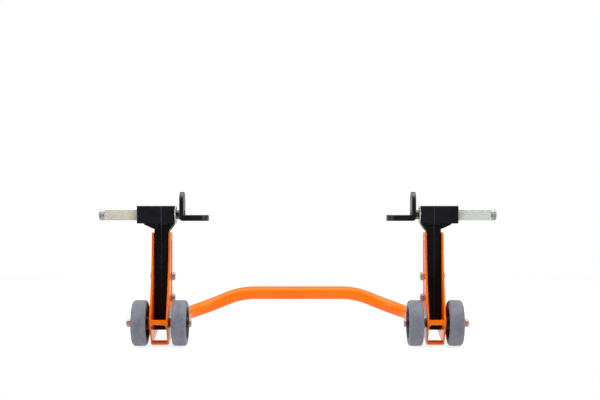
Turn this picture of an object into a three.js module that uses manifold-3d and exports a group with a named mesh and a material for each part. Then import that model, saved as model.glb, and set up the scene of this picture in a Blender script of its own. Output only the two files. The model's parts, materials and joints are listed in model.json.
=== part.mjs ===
// Rear paddock stand for a motorcycle: two uprights on paired wheels, joined by one bent tube handle.
// Millimetres, +Z up. The wheels are at the -Y end and the handle's cross bar at the +Y end.
// The origin is on the floor, below the middle of the stand's outline.
import * as THREE from "three";
import { mergeVertices } from "three/addons/utils/BufferGeometryUtils.js";
import Module from "manifold-3d";

// Driving dimensions. In each upright x is measured outwards from the column's axis, and y from
// that axis towards the cross bar.
const GAP = 0.3; // between pieces that touch
const PAST = 1; // how far a cutter runs past a face, and a joined shape reaches into its neighbour
const UPRIGHT_X = 238.5; // column axis to the stand's middle plane

const FRAME = {
  plate: 3.5, // sheet thickness
  inside: 25.7, // between the two side plates
  top: 197,
  topRound: 4,
  front: -16, // front edge of the side plates beside the column
  rear: 16.5, // rear face of the web behind the column
  toe: -54, // front face of the crosspiece
  crosspieceLow: 39.4,
  crosspieceHigh: 47.5,
  windowRound: 6.5, // upper corners of the opening below the crosspiece
  sole: [-31, 2.6], // lowest corner of the side plates, as y and z
  soleLength: 13, // of the strip that joins the plates' lower edges
  tail: [105, 33], // rear lower corner
  tailHigh: 66,
  shoulder: 77, // where the tail leaves the web
  shoulderRound: 10,
  webLow: 45,
  webTop: 193,
};

const COLUMN = { width: 25, wall: 2, round: 2.5, low: 26.5 };
const BAR_Z = 228; // slide bar, head and saddle pivot
const HEAD = { inner: -22.9, outer: 42.5, height: 31, depth: 32, round: 2, bore: 20.7 };
const FAIRINGS = { outer: [32, 203], inner: [-22, 199.5] }; // end under the head, and foot on the column
const BAR = { width: 20, wall: 2, round: 2, outer: 100.2, endWall: 6 };
const CAP = { length: 11, dome: 3, groove: [106.7, 107.5], grooveDepth: 0.8, plug: 8 };
const PIN = { x: 104, radius: 2, length: 24 };
const SADDLE = { outer: -31.5, tip: -82.3, low: 217, top: 268.3, depth: 36, upright: 7.6, seat: 10.6 };
const SKIN = 1.3; // rubber over the outer faces of the saddle's steel

const BOLT_RADIUS = 4; // M8 throughout
const HOLE_RADIUS = BOLT_RADIUS + GAP;
const HEX = { acrossFlats: 13, nut: 6.5 };
const HEIGHT_BOLTS = { lower: 82, upper: 120 };
const LIFT = 60; // travel of each column
const CLAMP_X = 10; // clamp screw, outwards from the column's axis

const WHEEL = { radius: 40, width: 25, shoulder: 5, tyreInner: 29, hub: 30.2, offset: 34.6, bore: 6 };
const RIM = { web: 4, felloe: 11.5 }; // half widths
const RIM_RADII = { hub: 10, hubRoot: 13, felloeRoot: 23, felloe: 26 };
const AXLE = { y: -25, z: 40, inner: -54.2, outer: 59.2 };

const TUBE = { radius: 14, wall: 2 };
const SQUEEZED = { width: 25, height: 30.6, until: 108, roundFrom: 140 };
const RAIL_START = new THREE.Vector3(UPRIGHT_X, 19, 57);
const CORNER = new THREE.Vector3(UPRIGHT_X, 419, 14); // where the rail's and the slope's axes cross
const CREST = new THREE.Vector3(122.6, 419, 61.2); // where the slope meets the level cross bar
const CORNER_BEND = 85;
const CREST_BEND = 155;
const FOOT = { y: 300, length: 40, width: 16, height: 16, round: 4 };

const COLUMN_Y = -(CORNER.y + TUBE.radius + AXLE.y - WHEEL.radius) / 2;

const orangePaint = { color: 0xff7d08, roughness: 0.35, metalness: 0 };
const blackPaint = { color: 0x18181a, roughness: 0.45, metalness: 0 };
const zinc = { color: 0xc4c5c0, roughness: 0.35, metalness: 0.9 };
const blackRubber = { color: 0x202022, roughness: 0.8, metalness: 0 };
const greyTyre = { color: 0x7c7c88, roughness: 0.7, metalness: 0 };
const blackPlastic = { color: 0x1c1c1e, roughness: 0.5, metalness: 0 };

// Solids

const wasm = await Module();
wasm.setup();

function solidFrom(geometry) {
  const bare = geometry.clone();
  bare.deleteAttribute("normal");
  bare.deleteAttribute("uv");
  const merged = mergeVertices(bare, 1e-3);
  return new wasm.Manifold(
    new wasm.Mesh({
      numProp: 3,
      vertProperties: merged.attributes.position.array,
      triVerts: new Uint32Array(merged.index.array),
    }),
  );
}

function geometryFrom(solid) {
  const mesh = solid.getMesh();
  const geometry = new THREE.BufferGeometry();
  geometry.setAttribute("position", new THREE.BufferAttribute(mesh.vertProperties, 3));
  geometry.setIndex(new THREE.BufferAttribute(mesh.triVerts, 1));
  geometry.computeVertexNormals();
  return geometry;
}

function join(...geometries) {
  return geometryFrom(geometries.map(solidFrom).reduce((a, b) => a.add(b)));
}

function cut(base, ...tools) {
  return geometryFrom([base, ...tools].map(solidFrom).reduce((a, b) => a.subtract(b)));
}

function common(...geometries) {
  return geometryFrom(geometries.map(solidFrom).reduce((a, b) => a.intersect(b)));
}

// Outlines and extrusions

const X = new THREE.Vector3(1, 0, 0);
const Y = new THREE.Vector3(0, 1, 0);
const Z = new THREE.Vector3(0, 0, 1);

// An outline in (y, z), extruded along X from one place to the other.
function alongX(outline, from, to, curveSegments = 6) {
  const depth = to - from;
  const geometry = new THREE.ExtrudeGeometry(outline, { depth, bevelEnabled: false, curveSegments });
  return geometry.applyMatrix4(new THREE.Matrix4().makeBasis(Y, Z, X)).translate(from, 0, 0);
}

// An outline in (x, z), extruded along Y.
function alongY(outline, from, to, curveSegments = 6) {
  const depth = to - from;
  const geometry = new THREE.ExtrudeGeometry(outline, { depth, bevelEnabled: false, curveSegments });
  return geometry.rotateX(Math.PI / 2).translate(0, to, 0);
}

// An outline in (x, y), extruded along Z.
function alongZ(outline, from, to, curveSegments = 6) {
  const depth = to - from;
  const geometry = new THREE.ExtrudeGeometry(outline, { depth, bevelEnabled: false, curveSegments });
  return geometry.translate(0, 0, from);
}

function box(x0, x1, y0, y1, z0, z1) {
  const geometry = new THREE.BoxGeometry(x1 - x0, y1 - y0, z1 - z0);
  return geometry.translate((x0 + x1) / 2, (y0 + y1) / 2, (z0 + z1) / 2);
}

function polygon(points) {
  return new THREE.Shape(points.map(([a, b]) => new THREE.Vector2(a, b)));
}

// A rectangle with one radius on each corner, in the order low-low, high-low, high-high, low-high.
function roundedRectangle(a0, a1, b0, b1, [r0, r1, r2, r3]) {
  const shape = new THREE.Shape();
  shape.moveTo(a0 + r0, b0);
  shape.lineTo(a1 - r1, b0);
  if (r1) shape.absarc(a1 - r1, b0 + r1, r1, -Math.PI / 2, 0, false);
  shape.lineTo(a1, b1 - r2);
  if (r2) shape.absarc(a1 - r2, b1 - r2, r2, 0, Math.PI / 2, false);
  shape.lineTo(a0 + r3, b1);
  if (r3) shape.absarc(a0 + r3, b1 - r3, r3, Math.PI / 2, Math.PI, false);
  if (r0) shape.absarc(a0 + r0, b0 + r0, r0, Math.PI, 1.5 * Math.PI, false);
  return shape;
}

function centredSquare(width, centreB, radius) {
  const half = width / 2;
  return roundedRectangle(-half, half, centreB - half, centreB + half, Array(4).fill(radius));
}

function circle(radius, a = 0, b = 0) {
  return new THREE.Shape().absarc(a, b, radius, 0, 2 * Math.PI, false);
}

// A round bar along X.
function rodX(radius, from, to, y, z, segments = 16) {
  const geometry = new THREE.CylinderGeometry(radius, radius, to - from, segments);
  return geometry.rotateZ(-Math.PI / 2).translate((from + to) / 2, y, z);
}

// A round bar along Y.
function rodY(radius, from, to, x, z, segments = 16) {
  const geometry = new THREE.CylinderGeometry(radius, radius, to - from, segments);
  return geometry.translate(x, (from + to) / 2, z);
}

// A piece turned about X: its profile lists x and radius, anticlockwise with x to the right.
function turned(profile, segments) {
  const points = profile.map(([x, radius]) => new THREE.Vector2(radius, x)).reverse();
  return new THREE.LatheGeometry(points, segments).rotateZ(-Math.PI / 2);
}

// A flat ring about X, as a washer or a spacer.
function ring(inner, outer, from, to, segments = 16) {
  return turned([[from, inner], [to, inner], [to, outer], [from, outer], [from, inner]], segments);
}

// A hexagon with one corner up, and a hole unless holeRadius is 0.
function hexagonX(acrossFlats, from, to, holeRadius) {
  const corner = acrossFlats / Math.sqrt(3);
  const points = [];
  for (let i = 0; i < 6; i += 1) {
    const angle = Math.PI / 2 + (i * Math.PI) / 3;
    points.push([corner * Math.cos(angle), corner * Math.sin(angle)]);
  }
  const outline = polygon(points);
  if (holeRadius) outline.holes.push(circle(holeRadius));
  return alongX(outline, from, to, 8);
}

function piece(name, geometry, finish, x = 0, y = 0, z = 0) {
  const mesh = new THREE.Mesh(geometry, new THREE.MeshStandardMaterial(finish));
  mesh.name = name;
  mesh.position.set(x, y, z);
  return mesh;
}

// Side frame: a folded channel of sheet that guides the column and holds the axle

function sidePlateOutline() {
  const f = FRAME;
  const { topRound, shoulderRound } = f;
  const outline = new THREE.Shape();
  outline.moveTo(...f.sole);
  outline.lineTo(...f.tail);
  outline.lineTo(f.tail[0], f.tailHigh);
  outline.lineTo(f.rear + shoulderRound, f.shoulder - 1);
  outline.quadraticCurveTo(f.rear, f.shoulder, f.rear, f.shoulder + shoulderRound);
  outline.lineTo(f.rear, f.top - topRound);
  outline.absarc(f.rear - topRound, f.top - topRound, topRound, 0, Math.PI / 2, false);
  outline.lineTo(f.front + topRound, f.top);
  outline.absarc(f.front + topRound, f.top - topRound, topRound, Math.PI / 2, Math.PI, false);
  outline.quadraticCurveTo(f.front, (f.top + f.crosspieceHigh) / 2, f.toe, f.crosspieceHigh);
  outline.lineTo(f.toe, f.crosspieceLow);
  outline.closePath();

  const slot = new THREE.Path();
  const slotRadius = BOLT_RADIUS + 0.4;
  slot.absarc(0, HEIGHT_BOLTS.lower, slotRadius, Math.PI, 2 * Math.PI, false);
  slot.absarc(0, HEIGHT_BOLTS.upper + LIFT, slotRadius, 0, Math.PI, false);
  slot.closePath();
  outline.holes.push(slot, circle(HOLE_RADIUS, AXLE.y, AXLE.z));
  return outline;
}

function solePlateOutline() {
  const [y0, z0] = FRAME.sole;
  const slope = (FRAME.tail[1] - z0) / (FRAME.tail[0] - y0);
  const y1 = y0 + FRAME.soleLength;
  const z1 = z0 + FRAME.soleLength * slope;
  const thick = FRAME.plate * Math.hypot(1, slope);
  return polygon([[y0, z0], [y1, z1], [y1, z1 + thick], [y0, z0 + thick]]);
}

// The band over the window at the front, with rounded window corners.
function crosspieceOutline() {
  const inner = FRAME.inside / 2;
  const half = inner + PAST;
  const round = FRAME.windowRound;
  const low = FRAME.crosspieceLow;
  const shape = new THREE.Shape();
  shape.moveTo(-half, FRAME.crosspieceHigh);
  shape.lineTo(-half, low - round);
  shape.lineTo(-inner, low - round);
  shape.absarc(-inner + round, low - round, round, Math.PI, Math.PI / 2, true);
  shape.lineTo(inner - round, low);
  shape.absarc(inner - round, low - round, round, Math.PI / 2, 0, true);
  shape.lineTo(half, low - round);
  shape.lineTo(half, FRAME.crosspieceHigh);
  shape.closePath();
  return shape;
}

function sideFrame() {
  const inner = FRAME.inside / 2;
  const outer = inner + FRAME.plate;
  const bite = inner + PAST;
  const plate = sidePlateOutline();
  const fold = FRAME.plate; // outer radius where sole and sides meet
  const folded = roundedRectangle(-outer, outer, FRAME.sole[1], FRAME.top + PAST, [fold, fold, 0, 0]);
  return common(
    join(
      alongX(plate, -outer, -inner),
      alongX(plate, inner, outer),
      box(-bite, bite, FRAME.rear - FRAME.plate, FRAME.rear, FRAME.webLow, FRAME.webTop),
      alongX(solePlateOutline(), -bite, bite),
      alongY(crosspieceOutline(), FRAME.toe, FRAME.toe + FRAME.plate),
    ),
    alongY(folded, FRAME.toe - PAST, FRAME.tail[0] + PAST),
  );
}

// Column and head

function column() {
  const half = COLUMN.width / 2;
  const top = BAR_Z - HEAD.height / 2 - GAP;
  const outline = centredSquare(COLUMN.width, 0, COLUMN.round);
  outline.holes.push(centredSquare(COLUMN.width - 2 * COLUMN.wall, 0, 0));
  const heights = Object.values(HEIGHT_BOLTS);
  return cut(
    alongZ(outline, COLUMN.low, top, 2),
    ...heights.map((z) => rodX(HOLE_RADIUS, -half - PAST, half + PAST, 0, z, 12)),
  );
}

function head() {
  const low = BAR_Z - HEAD.height / 2;
  const high = BAR_Z + HEAD.height / 2;
  const depth = HEAD.depth / 2;
  const body = roundedRectangle(-depth, depth, low, high, Array(4).fill(HEAD.round));
  const half = COLUMN.width / 2;
  const beside = half + GAP;
  const [outerEnd, outerFoot] = FAIRINGS.outer;
  const [innerEnd, innerFoot] = FAIRINGS.inner;
  const joint = low + PAST;
  const outerFairing = polygon([[beside, joint], [beside, outerFoot], [outerEnd, low], [outerEnd, joint]]);
  const innerFairing = polygon([[-beside, joint], [innerEnd, joint], [innerEnd, low], [-beside, innerFoot]]);
  return cut(
    join(
      alongX(body, HEAD.inner, HEAD.outer, 2),
      alongY(outerFairing, -half, half),
      alongY(innerFairing, -half, half),
    ),
    alongX(centredSquare(HEAD.bore, BAR_Z, 0), HEAD.inner - PAST, HEAD.outer + PAST),
    rodY(HOLE_RADIUS, HEAD.bore / 2 - PAST, depth + PAST, CLAMP_X, BAR_Z),
  );
}

// Slide bar and what it carries

function slideBar() {
  const outline = centredSquare(BAR.width, BAR_Z, BAR.round);
  const bore = centredSquare(BAR.width - 2 * BAR.wall, BAR_Z, 0);
  return cut(
    alongX(outline, HEAD.inner, BAR.outer, 2),
    alongX(bore, HEAD.inner + BAR.endWall, BAR.outer + PAST),
    rodX(HOLE_RADIUS, HEAD.inner - PAST, HEAD.inner + BAR.endWall + PAST, 0, BAR_Z),
  );
}

// A round cap with a domed end, a ring groove and a square plug; the stop pin goes through it.
function barEndCap() {
  const from = BAR.outer + GAP;
  const domeFrom = from + CAP.length - CAP.dome;
  const radius = BAR.width / 2;
  const grooveRadius = radius - CAP.grooveDepth;
  const [grooveFrom, grooveTo] = CAP.groove;
  const profile = [];
  const domeSteps = 5;
  for (let i = 0; i <= domeSteps; i += 1) {
    const turn = (i / domeSteps) * (Math.PI / 2);
    profile.push([domeFrom + CAP.dome * Math.cos(turn), radius * Math.sin(turn)]);
  }
  profile.push([grooveTo, radius], [grooveTo, grooveRadius], [grooveFrom, grooveRadius]);
  profile.push([grooveFrom, radius], [from, radius], [from, 0]);
  const plug = centredSquare(BAR.width - 2 * BAR.wall - 2 * GAP, BAR_Z, BAR.round / 2);
  return cut(
    join(
      turned(profile, 32).translate(0, 0, BAR_Z),
      alongX(plug, BAR.outer - CAP.plug, from + PAST, 2),
    ),
    rodY(PIN.radius + GAP, -BAR.width, BAR.width, PIN.x, BAR_Z, 12),
  );
}

const DISC = { from: HEAD.inner - GAP - 1.6, to: HEAD.inner - GAP, radius: 16 };
const SWIVEL_NUT = { from: SADDLE.outer - SKIN, to: DISC.from - GAP, radius: 8 };

// The steel, or with grow 0 and the full thicknesses the rubber's outside: an L with round ends.
function saddleForm(outer, tip, low, top, depth, upright, seat) {
  const bend = 6;
  const inside = 2;
  const round = depth / 2 - 1;
  const profile = new THREE.Shape();
  profile.moveTo(tip, low);
  profile.lineTo(outer - bend, low);
  profile.absarc(outer - bend, low + bend, bend, -Math.PI / 2, 0, false);
  profile.lineTo(outer, top);
  profile.lineTo(outer - upright, top);
  profile.lineTo(outer - upright, low + seat + inside);
  profile.absarc(outer - upright - inside, low + seat + inside, inside, 0, -Math.PI / 2, true);
  profile.lineTo(tip, low + seat);
  profile.closePath();
  const half = depth / 2;
  const endOn = roundedRectangle(-half, half, low - PAST, top, [0, 0, round, round]);
  const plan = roundedRectangle(tip, outer + PAST, -half, half, [round, 0, 0, round]);
  return common(
    alongY(profile, -half, half, 4),
    alongX(endOn, tip - PAST, outer + PAST, 7),
    alongZ(plan, low - PAST, top + PAST, 7),
  );
}

const STEEL = { thick: 4.7, edge: 1.6 }; // the saddle's steel, and the rubber round its edges

function saddleSteel(grow) {
  const s = SADDLE;
  return saddleForm(
    s.outer - SKIN + grow,
    s.tip + STEEL.edge - grow,
    s.low + SKIN - grow,
    s.top - STEEL.edge + grow,
    s.depth - 2 * STEEL.edge + 2 * grow,
    STEEL.thick + 2 * grow,
    STEEL.thick + 2 * grow,
  );
}

const SWIVEL_BOLT = { head: 7, headDepth: 2.6, reach: 4 }; // reach is past the bar's end wall
const STEEL_INNER_X = SADDLE.outer - SKIN - STEEL.thick; // face under the swivel bolt's head

// The countersunk head, or the recess for it, which is larger by grow.
function swivelHeadCone(grow) {
  const from = STEEL_INNER_X - grow;
  const to = STEEL_INNER_X + SWIVEL_BOLT.headDepth + grow;
  const narrow = 0.9 * BOLT_RADIUS + 2 * grow;
  const profile = [[from, 0], [to, 0], [to, narrow], [from, SWIVEL_BOLT.head + 2 * grow], [from, 0]];
  return turned(profile, 16).translate(0, 0, BAR_Z);
}

function saddleCore() {
  return cut(
    saddleSteel(0),
    rodX(HOLE_RADIUS, SADDLE.outer - SADDLE.upright - PAST, SADDLE.outer + PAST, 0, BAR_Z),
    swivelHeadCone(GAP),
  );
}

function saddleCover() {
  const s = SADDLE;
  return cut(
    saddleForm(s.outer, s.tip, s.low, s.top, s.depth, s.upright, s.seat),
    saddleSteel(GAP),
    rodX(SWIVEL_NUT.radius + GAP, s.outer - s.upright - PAST, s.outer + PAST, 0, BAR_Z),
  );
}

function swivelBolt() {
  const tip = HEAD.inner + BAR.endWall + SWIVEL_BOLT.reach;
  return join(swivelHeadCone(0), rodX(BOLT_RADIUS, STEEL_INNER_X + PAST, tip, 0, BAR_Z));
}

// Clamp on the head's rear face

const KNOB = { radius: 12.6, lobe: 2.2, lobes: 5, from: 19, to: 33, collar: 8, collarFrom: 17, cover: 4 };

function clampKnob() {
  const points = [];
  const steps = 6 * KNOB.lobes;
  for (let i = 0; i < steps; i += 1) {
    const angle = (i * 2 * Math.PI) / steps;
    const radius = KNOB.radius + KNOB.lobe * Math.cos(KNOB.lobes * angle);
    points.push([CLAMP_X + radius * Math.cos(angle), BAR_Z + radius * Math.sin(angle)]);
  }
  const collar = rodY(KNOB.collar, KNOB.collarFrom, KNOB.from + PAST, CLAMP_X, BAR_Z);
  const star = alongY(polygon(points), KNOB.from, KNOB.to);
  const bore = rodY(HOLE_RADIUS, KNOB.collarFrom - PAST, KNOB.to - KNOB.cover, CLAMP_X, BAR_Z);
  return cut(join(collar, star), bore);
}

function clampScrew() {
  return rodY(BOLT_RADIUS, BAR.width / 2 + GAP, KNOB.to - KNOB.cover - PAST, CLAMP_X, BAR_Z);
}

// Bolts that set the column's height

const PLATE_FACE = FRAME.inside / 2 + FRAME.plate; // outer face of either side plate
const BUTTON = { height: 4.2, rim: 1.2, radius: 7, domeRadius: 5.4, crownRadius: 3 };

function heightBolt() {
  const seat = PLATE_FACE + GAP;
  const top = seat + BUTTON.height;
  const end = -(seat + HEX.nut + GAP);
  const dome = [[top, BUTTON.crownRadius], [top - 1, BUTTON.domeRadius]];
  const rim = [[seat + BUTTON.rim, BUTTON.radius], [seat, BUTTON.radius]];
  return turned([[end, 0], [top, 0], ...dome, ...rim, [seat, BOLT_RADIUS], [end, BOLT_RADIUS], [end, 0]], 16);
}

function heightNut() {
  return hexagonX(HEX.acrossFlats, -PLATE_FACE - GAP - HEX.nut, -PLATE_FACE - GAP, HOLE_RADIUS);
}

// Axle and wheels, about the axle's own axis

const BUSH_HALF = WHEEL.hub / 2 + 0.1; // stands a little proud of the hub
const HUB_INNER = WHEEL.offset - BUSH_HALF; // near end of either bush
const HUB_OUTER = WHEEL.offset + BUSH_HALF;
const WASHER = { thick: 1.6, radius: 8 };
const SPACER_RADIUS = 8;

function axleBolt() {
  const seat = -HUB_OUTER - GAP;
  return join(
    hexagonX(HEX.acrossFlats, AXLE.inner, seat, 0),
    rodX(BOLT_RADIUS, seat - PAST, AXLE.outer, 0, 0),
  );
}

function axleWasher() {
  return ring(HOLE_RADIUS, WASHER.radius, HUB_OUTER + GAP, HUB_OUTER + GAP + WASHER.thick);
}

function axleNut() {
  const from = HUB_OUTER + 2 * GAP + WASHER.thick;
  return hexagonX(HEX.acrossFlats, from, from + HEX.nut, HOLE_RADIUS);
}

function axleSpacer() {
  return ring(HOLE_RADIUS, SPACER_RADIUS, PLATE_FACE + GAP, HUB_INNER - GAP);
}

function tyre() {
  const half = WHEEL.width / 2;
  const shoulder = WHEEL.shoulder;
  const inner = WHEEL.tyreInner + GAP;
  const profile = [[-half, inner], [half, inner]];
  const arcSteps = 3;
  for (const side of [1, -1]) {
    for (let i = 0; i <= arcSteps; i += 1) {
      const turn = ((side > 0 ? i : arcSteps - i) / arcSteps) * (Math.PI / 2);
      const x = side * (half - shoulder + shoulder * Math.cos(turn));
      profile.push([x, WHEEL.radius - shoulder + shoulder * Math.sin(turn)]);
    }
  }
  profile.push([-half, inner]);
  return turned(profile, 32);
}

function rim() {
  const { web, felloe } = RIM;
  const radii = RIM_RADII;
  const hub = WHEEL.hub / 2;
  const right = [[hub, WHEEL.bore + GAP], [hub, radii.hub], [web, radii.hubRoot]];
  right.push([web, radii.felloeRoot], [felloe, radii.felloe], [felloe, WHEEL.tyreInner]);
  const left = right.map(([x, radius]) => [-x, radius]).reverse();
  return turned([...right, ...left, right[0]], 24);
}

function bush() {
  return ring(HOLE_RADIUS, WHEEL.bore, -BUSH_HALF, BUSH_HALF);
}

// Handle: one tube from upright to upright

// A line through given places, stepped from one to the next whatever the distance between them.
class SteppedLine extends THREE.Curve {
  constructor(places) {
    super();
    this.places = places;
  }

  getPoint(t, target = new THREE.Vector3()) {
    const last = this.places.length - 1;
    const index = Math.min(Math.floor(t * last), last - 1);
    return target.lerpVectors(this.places[index], this.places[index + 1], t * last - index);
  }

  getUtoTmapping(u) {
    return u;
  }
}

// The arc that rounds the corner at b between the lines to a and c.
function arcPlaces(a, b, c, radius, steps) {
  const toA = a.clone().sub(b).normalize();
  const toC = c.clone().sub(b).normalize();
  const halfAngle = toA.angleTo(toC) / 2;
  const reach = radius / Math.tan(halfAngle);
  const middle = toA.clone().add(toC).setLength(radius / Math.sin(halfAngle)).add(b);
  const first = toA.multiplyScalar(reach).add(b).sub(middle);
  const last = toC.multiplyScalar(reach).add(b).sub(middle);
  const sweep = Math.PI - 2 * halfAngle;
  const places = [];
  for (let i = 0; i <= steps; i += 1) {
    const turn = (i / steps) * sweep;
    const place = first.clone().multiplyScalar(Math.sin(sweep - turn) / Math.sin(sweep));
    place.addScaledVector(last, Math.sin(turn) / Math.sin(sweep));
    places.push(place.add(middle));
  }
  return places;
}

function railPoint(y) {
  return RAIL_START.clone().lerp(CORNER, (y - RAIL_START.y) / (CORNER.y - RAIL_START.y));
}

function handlePlaces() {
  const opposite = CREST.clone().setX(-CREST.x);
  const half = [
    RAIL_START.clone(),
    railPoint(SQUEEZED.until),
    railPoint(SQUEEZED.roundFrom),
    ...arcPlaces(RAIL_START, CORNER, CREST, CORNER_BEND, 8),
    ...arcPlaces(CORNER, CREST, opposite, CREST_BEND, 4),
  ];
  const mirrored = half.map((place) => place.clone().setX(-place.x)).reverse();
  return [...half, ...mirrored];
}

// Presses the tube's front ends to an oval that fits between the side plates.
function squeezeEnds(geometry) {
  const position = geometry.attributes.position;
  for (let i = 0; i < position.count; i += 1) {
    const y = position.getY(i);
    const press = 1 - THREE.MathUtils.smoothstep(y, SQUEEZED.until, SQUEEZED.roundFrom);
    const narrow = THREE.MathUtils.lerp(1, SQUEEZED.width / (2 * TUBE.radius), press);
    const tall = THREE.MathUtils.lerp(1, SQUEEZED.height / (2 * TUBE.radius), press);
    const side = Math.sign(position.getX(i)) * UPRIGHT_X;
    const level = railPoint(y).z;
    position.setX(i, side + (position.getX(i) - side) * narrow);
    position.setZ(i, level + (position.getZ(i) - level) * tall);
  }
  return geometry;
}

function handle() {
  const section = circle(TUBE.radius);
  section.holes.push(circle(TUBE.radius - TUBE.wall));
  const places = handlePlaces();
  const extrudePath = new SteppedLine(places);
  const options = { steps: places.length - 1, extrudePath, curveSegments: 9, bevelEnabled: false };
  return squeezeEnds(new THREE.ExtrudeGeometry(section, options));
}

function handleFoot() {
  const from = railPoint(FOOT.y - FOOT.length).setX(0);
  const to = railPoint(FOOT.y + FOOT.length).setX(0);
  const extrudePath = new THREE.LineCurve3(from, to);
  const options = { steps: 1, extrudePath, curveSegments: 10, bevelEnabled: false };
  const tube = new THREE.ExtrudeGeometry(circle(TUBE.radius + GAP), options);
  const outline = roundedRectangle(
    -FOOT.width / 2,
    FOOT.width / 2,
    FOOT.y - FOOT.length / 2,
    FOOT.y + FOOT.length / 2,
    Array(4).fill(FOOT.round),
  );
  return cut(alongZ(outline, 0, FOOT.height, 4), tube);
}

// Assembly

function wheel(prefix, x) {
  const group = new THREE.Group();
  group.position.set(x, AXLE.y, AXLE.z);
  group.add(
    piece(prefix + "_wheel_tyre", tyre(), greyTyre),
    piece(prefix + "_wheel_rim", rim(), blackPlastic),
    piece(prefix + "_wheel_bush", bush(), zinc),
  );
  return group;
}

function axle(side) {
  const group = new THREE.Group();
  group.position.set(0, AXLE.y, AXLE.z);
  const innerSpacer = piece(side + "_axle_spacer_inner", axleSpacer(), orangePaint);
  innerSpacer.rotation.z = Math.PI;
  group.add(
    piece(side + "_axle_bolt", axleBolt(), zinc),
    piece(side + "_axle_washer", axleWasher(), zinc),
    piece(side + "_axle_nut", axleNut(), zinc),
    piece(side + "_axle_spacer_outer", axleSpacer(), orangePaint),
    innerSpacer,
  );
  return group;
}

function slideAssembly(side) {
  const group = new THREE.Group();
  const nut = ring(HOLE_RADIUS, SWIVEL_NUT.radius, SWIVEL_NUT.from + GAP, SWIVEL_NUT.to);
  const disc = ring(HOLE_RADIUS, DISC.radius, DISC.from, DISC.to, 24);
  const pin = rodY(PIN.radius, -PIN.length / 2, PIN.length / 2, PIN.x, BAR_Z, 12);
  group.add(
    piece(side + "_slide_bar", slideBar(), zinc),
    piece(side + "_bar_end_cap", barEndCap(), zinc),
    piece(side + "_bar_stop_pin", pin, zinc),
    piece(side + "_stop_disc", disc, zinc, 0, 0, BAR_Z),
    piece(side + "_swivel_nut", nut, zinc, 0, 0, BAR_Z),
    piece(side + "_swivel_bolt", swivelBolt(), zinc),
    piece(side + "_saddle_core", saddleCore(), blackPaint),
    piece(side + "_saddle_cover", saddleCover(), blackRubber),
  );
  return group;
}

function upright(side, sign) {
  const group = new THREE.Group();
  group.position.set(sign * UPRIGHT_X, COLUMN_Y, 0);
  group.scale.x = sign;
  group.add(
    piece(side + "_side_frame", sideFrame(), orangePaint),
    piece(side + "_column", column(), blackPaint),
    piece(side + "_head", head(), blackPaint),
    piece(side + "_clamp_knob", clampKnob(), blackPlastic),
    piece(side + "_clamp_screw", clampScrew(), zinc),
    slideAssembly(side),
    axle(side),
    wheel(side + "_inner", -WHEEL.offset),
    wheel(side + "_outer", WHEEL.offset),
  );
  for (const [place, z] of Object.entries(HEIGHT_BOLTS)) {
    group.add(
      piece(`${side}_height_bolt_${place}`, heightBolt(), zinc, 0, 0, z),
      piece(`${side}_height_nut_${place}`, heightNut(), zinc, 0, 0, z),
    );
  }
  return group;
}

const group = new THREE.Group();
group.add(upright("left", -1), upright("right", 1));
group.add(piece("handle", handle(), orangePaint, 0, COLUMN_Y, 0));
group.add(piece("left_handle_foot", handleFoot(), blackRubber, -UPRIGHT_X, COLUMN_Y, 0));
group.add(piece("right_handle_foot", handleFoot(), blackRubber, UPRIGHT_X, COLUMN_Y, 0));

export default group;
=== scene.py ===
import json
import math
import random

import bmesh
import bpy
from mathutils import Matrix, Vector


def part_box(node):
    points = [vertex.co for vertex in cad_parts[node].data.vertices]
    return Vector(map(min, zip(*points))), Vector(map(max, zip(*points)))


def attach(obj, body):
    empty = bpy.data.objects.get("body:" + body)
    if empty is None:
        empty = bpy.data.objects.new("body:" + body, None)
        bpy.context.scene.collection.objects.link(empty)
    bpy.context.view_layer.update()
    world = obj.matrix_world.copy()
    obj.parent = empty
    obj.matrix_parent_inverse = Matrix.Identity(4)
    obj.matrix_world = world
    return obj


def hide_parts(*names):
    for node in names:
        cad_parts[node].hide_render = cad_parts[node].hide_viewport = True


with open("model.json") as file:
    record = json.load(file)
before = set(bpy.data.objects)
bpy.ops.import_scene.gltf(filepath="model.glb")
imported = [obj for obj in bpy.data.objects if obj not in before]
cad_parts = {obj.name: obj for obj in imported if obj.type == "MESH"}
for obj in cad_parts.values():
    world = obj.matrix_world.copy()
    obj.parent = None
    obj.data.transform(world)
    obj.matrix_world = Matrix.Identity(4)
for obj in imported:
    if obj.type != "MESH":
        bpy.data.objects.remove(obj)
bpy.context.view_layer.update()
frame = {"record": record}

random.seed(7)

# ---- sizes

MM = 0.001
SIDES = {"left": -1, "right": 1}
GAP = 0.3  # between pieces that touch

column_low, column_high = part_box("right_column")
UPRIGHT_X = (column_low.x + column_high.x) / 2 / MM
COLUMN_Y = (column_low.y + column_high.y) / 2 / MM


def local_box(node):
    """Lowest and highest corner of a node of the right upright, in the upright's own millimetres."""
    shift = Vector((UPRIGHT_X, COLUMN_Y, 0))
    low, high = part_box("right_" + node)
    return low / MM - shift, high / MM - shift


def middle_of(node):
    low, high = local_box(node)
    return (low + high) / 2


BAR_Z = middle_of("slide_bar").z
AXLE = middle_of("axle_spacer_outer")

PLATE = 3.5  # the side frame's sheet
PLATE_INNER = 12.85  # inner face of either side plate
PLATE_OUTER = PLATE_INNER + PLATE
CROSSPIECE = {"low": 39.4, "high": 47.5, "corner": 6.5}
SOLE_SLOPE = 30.4 / 136  # rise of the side plates' lower edge, over its length
SOLE_LENGTH = 13
TAIL = {"low": 33, "high": 66, "shoulder": 77, "round": 10}
CROWN = {"below": 9, "round": 4}  # top of the side plates
WEB = {"rear": 16.5, "low": 45, "below_top": 4}
FRONT_EDGE = -16  # front of the side plates beside the column
SLOT_RADIUS = 4.4
LIFT = 60  # travel of each column

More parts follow.
